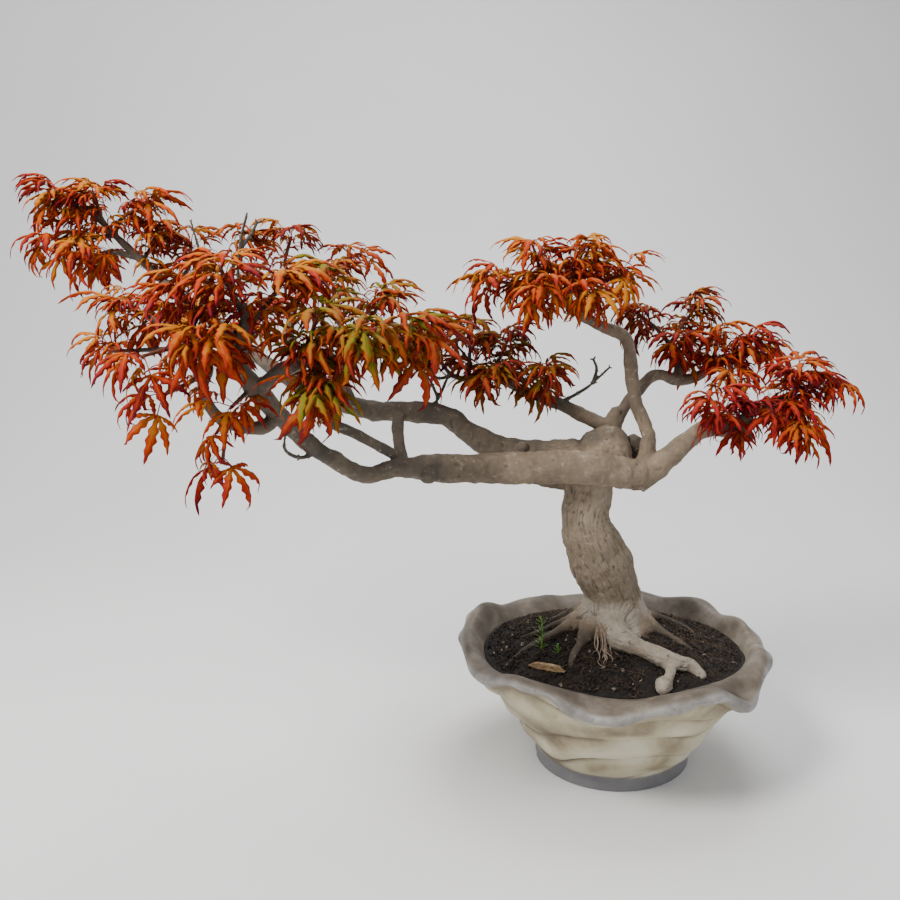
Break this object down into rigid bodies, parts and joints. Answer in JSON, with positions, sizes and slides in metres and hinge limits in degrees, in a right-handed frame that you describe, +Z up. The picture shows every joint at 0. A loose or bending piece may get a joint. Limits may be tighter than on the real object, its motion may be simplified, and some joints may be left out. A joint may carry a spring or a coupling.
{
  "type": "potted maple bonsai",
  "caption": "Japanese maple bonsai in autumn colour: leaning trunk on surface roots, long sideways limbs, sprays of lobed leaves, in a round ruffled clay bowl of dark soil",
  "frame": {"origin": "middle of the flat underside of the bowl's foot", "axes": "+Z up, +X towards the short right side of the crown, -Y towards the front, where the big root and the pale bar show"},
  "size_m": [0.7604, 0.4022, 0.5702],
  "materials": {
    "glazed_clay": "satin",
    "drain_mesh": "matte",
    "potting_soil": "matte",
    "maple_bark": "matte",
    "weed_green": "satin",
    "dry_bark": "matte",
    "leaf_far_left": "satin",
    "leaf_left_back": "satin",
    "leaf_left_front": "satin",
    "leaf_middle": "satin",
    "leaf_centre": "satin",
    "leaf_top": "satin",
    "leaf_back_right": "satin",
    "leaf_right": "satin",
    "leaf_low_right": "satin",
    "leaf_far_right": "satin"
  },
  "bodies": {
    "root": {"bowl": "glazed_clay", "drain_screen_left": "drain_mesh", "drain_screen_right": "drain_mesh", "soil": "potting_soil", "wood": "maple_bark", "weed_sprout": "weed_green", "bark_chip": "dry_bark", "spray_far_left_1": "leaf_far_left", "spray_far_left_2": "leaf_far_left", "spray_far_left_3": "leaf_far_left", "spray_far_left_4": "leaf_far_left", "spray_far_left_5": "leaf_far_left", "spray_left_back_1": "leaf_left_back", "spray_left_back_2": "leaf_left_back", "spray_left_back_3": "leaf_left_back", "spray_left_back_4": "leaf_left_back", "spray_left_back_5": "leaf_left_back", "spray_left_front_1": "leaf_left_front", "spray_left_front_2": "leaf_left_front", "spray_left_front_3": "leaf_left_front", "spray_left_front_4": "leaf_left_front", "spray_left_front_5": "leaf_left_front", "spray_left_front_6": "leaf_left_front", "spray_left_front_7": "leaf_left_front", "spray_left_front_8": "leaf_left_front", "spray_left_front_9": "leaf_left_front", "spray_left_front_10": "leaf_left_front", "spray_left_front_11": "leaf_left_front", "spray_left_front_12": "leaf_left_front", "spray_middle_1": "leaf_middle", "spray_middle_2": "leaf_middle", "spray_middle_3": "leaf_middle", "spray_middle_4": "leaf_middle", "spray_middle_5": "leaf_middle", "spray_middle_6": "leaf_middle", "spray_middle_7": "leaf_middle", "spray_middle_8": "leaf_middle", "spray_centre_1": "leaf_centre", "spray_centre_2": "leaf_centre", "spray_centre_3": "leaf_centre", "spray_centre_4": "leaf_centre", "spray_centre_5": "leaf_centre", "spray_top_1": "leaf_top", "spray_top_2": "leaf_top", "spray_top_3": "leaf_top", "spray_top_4": "leaf_top", "spray_top_5": "leaf_top", "spray_top_6": "leaf_top", "spray_top_7": "leaf_top", "spray_back_right_1": "leaf_back_right", "spray_back_right_2": "leaf_back_right", "spray_right_1": "leaf_right", "spray_right_2": "leaf_right", "spray_right_3": "leaf_right", "spray_right_4": "leaf_right", "spray_low_right_1": "leaf_low_right", "spray_low_right_2": "leaf_low_right", "spray_far_right_1": "leaf_far_right", "spray_far_right_2": "leaf_far_right", "spray_far_right_3": "leaf_far_right"}
  },
  "joints": []
}
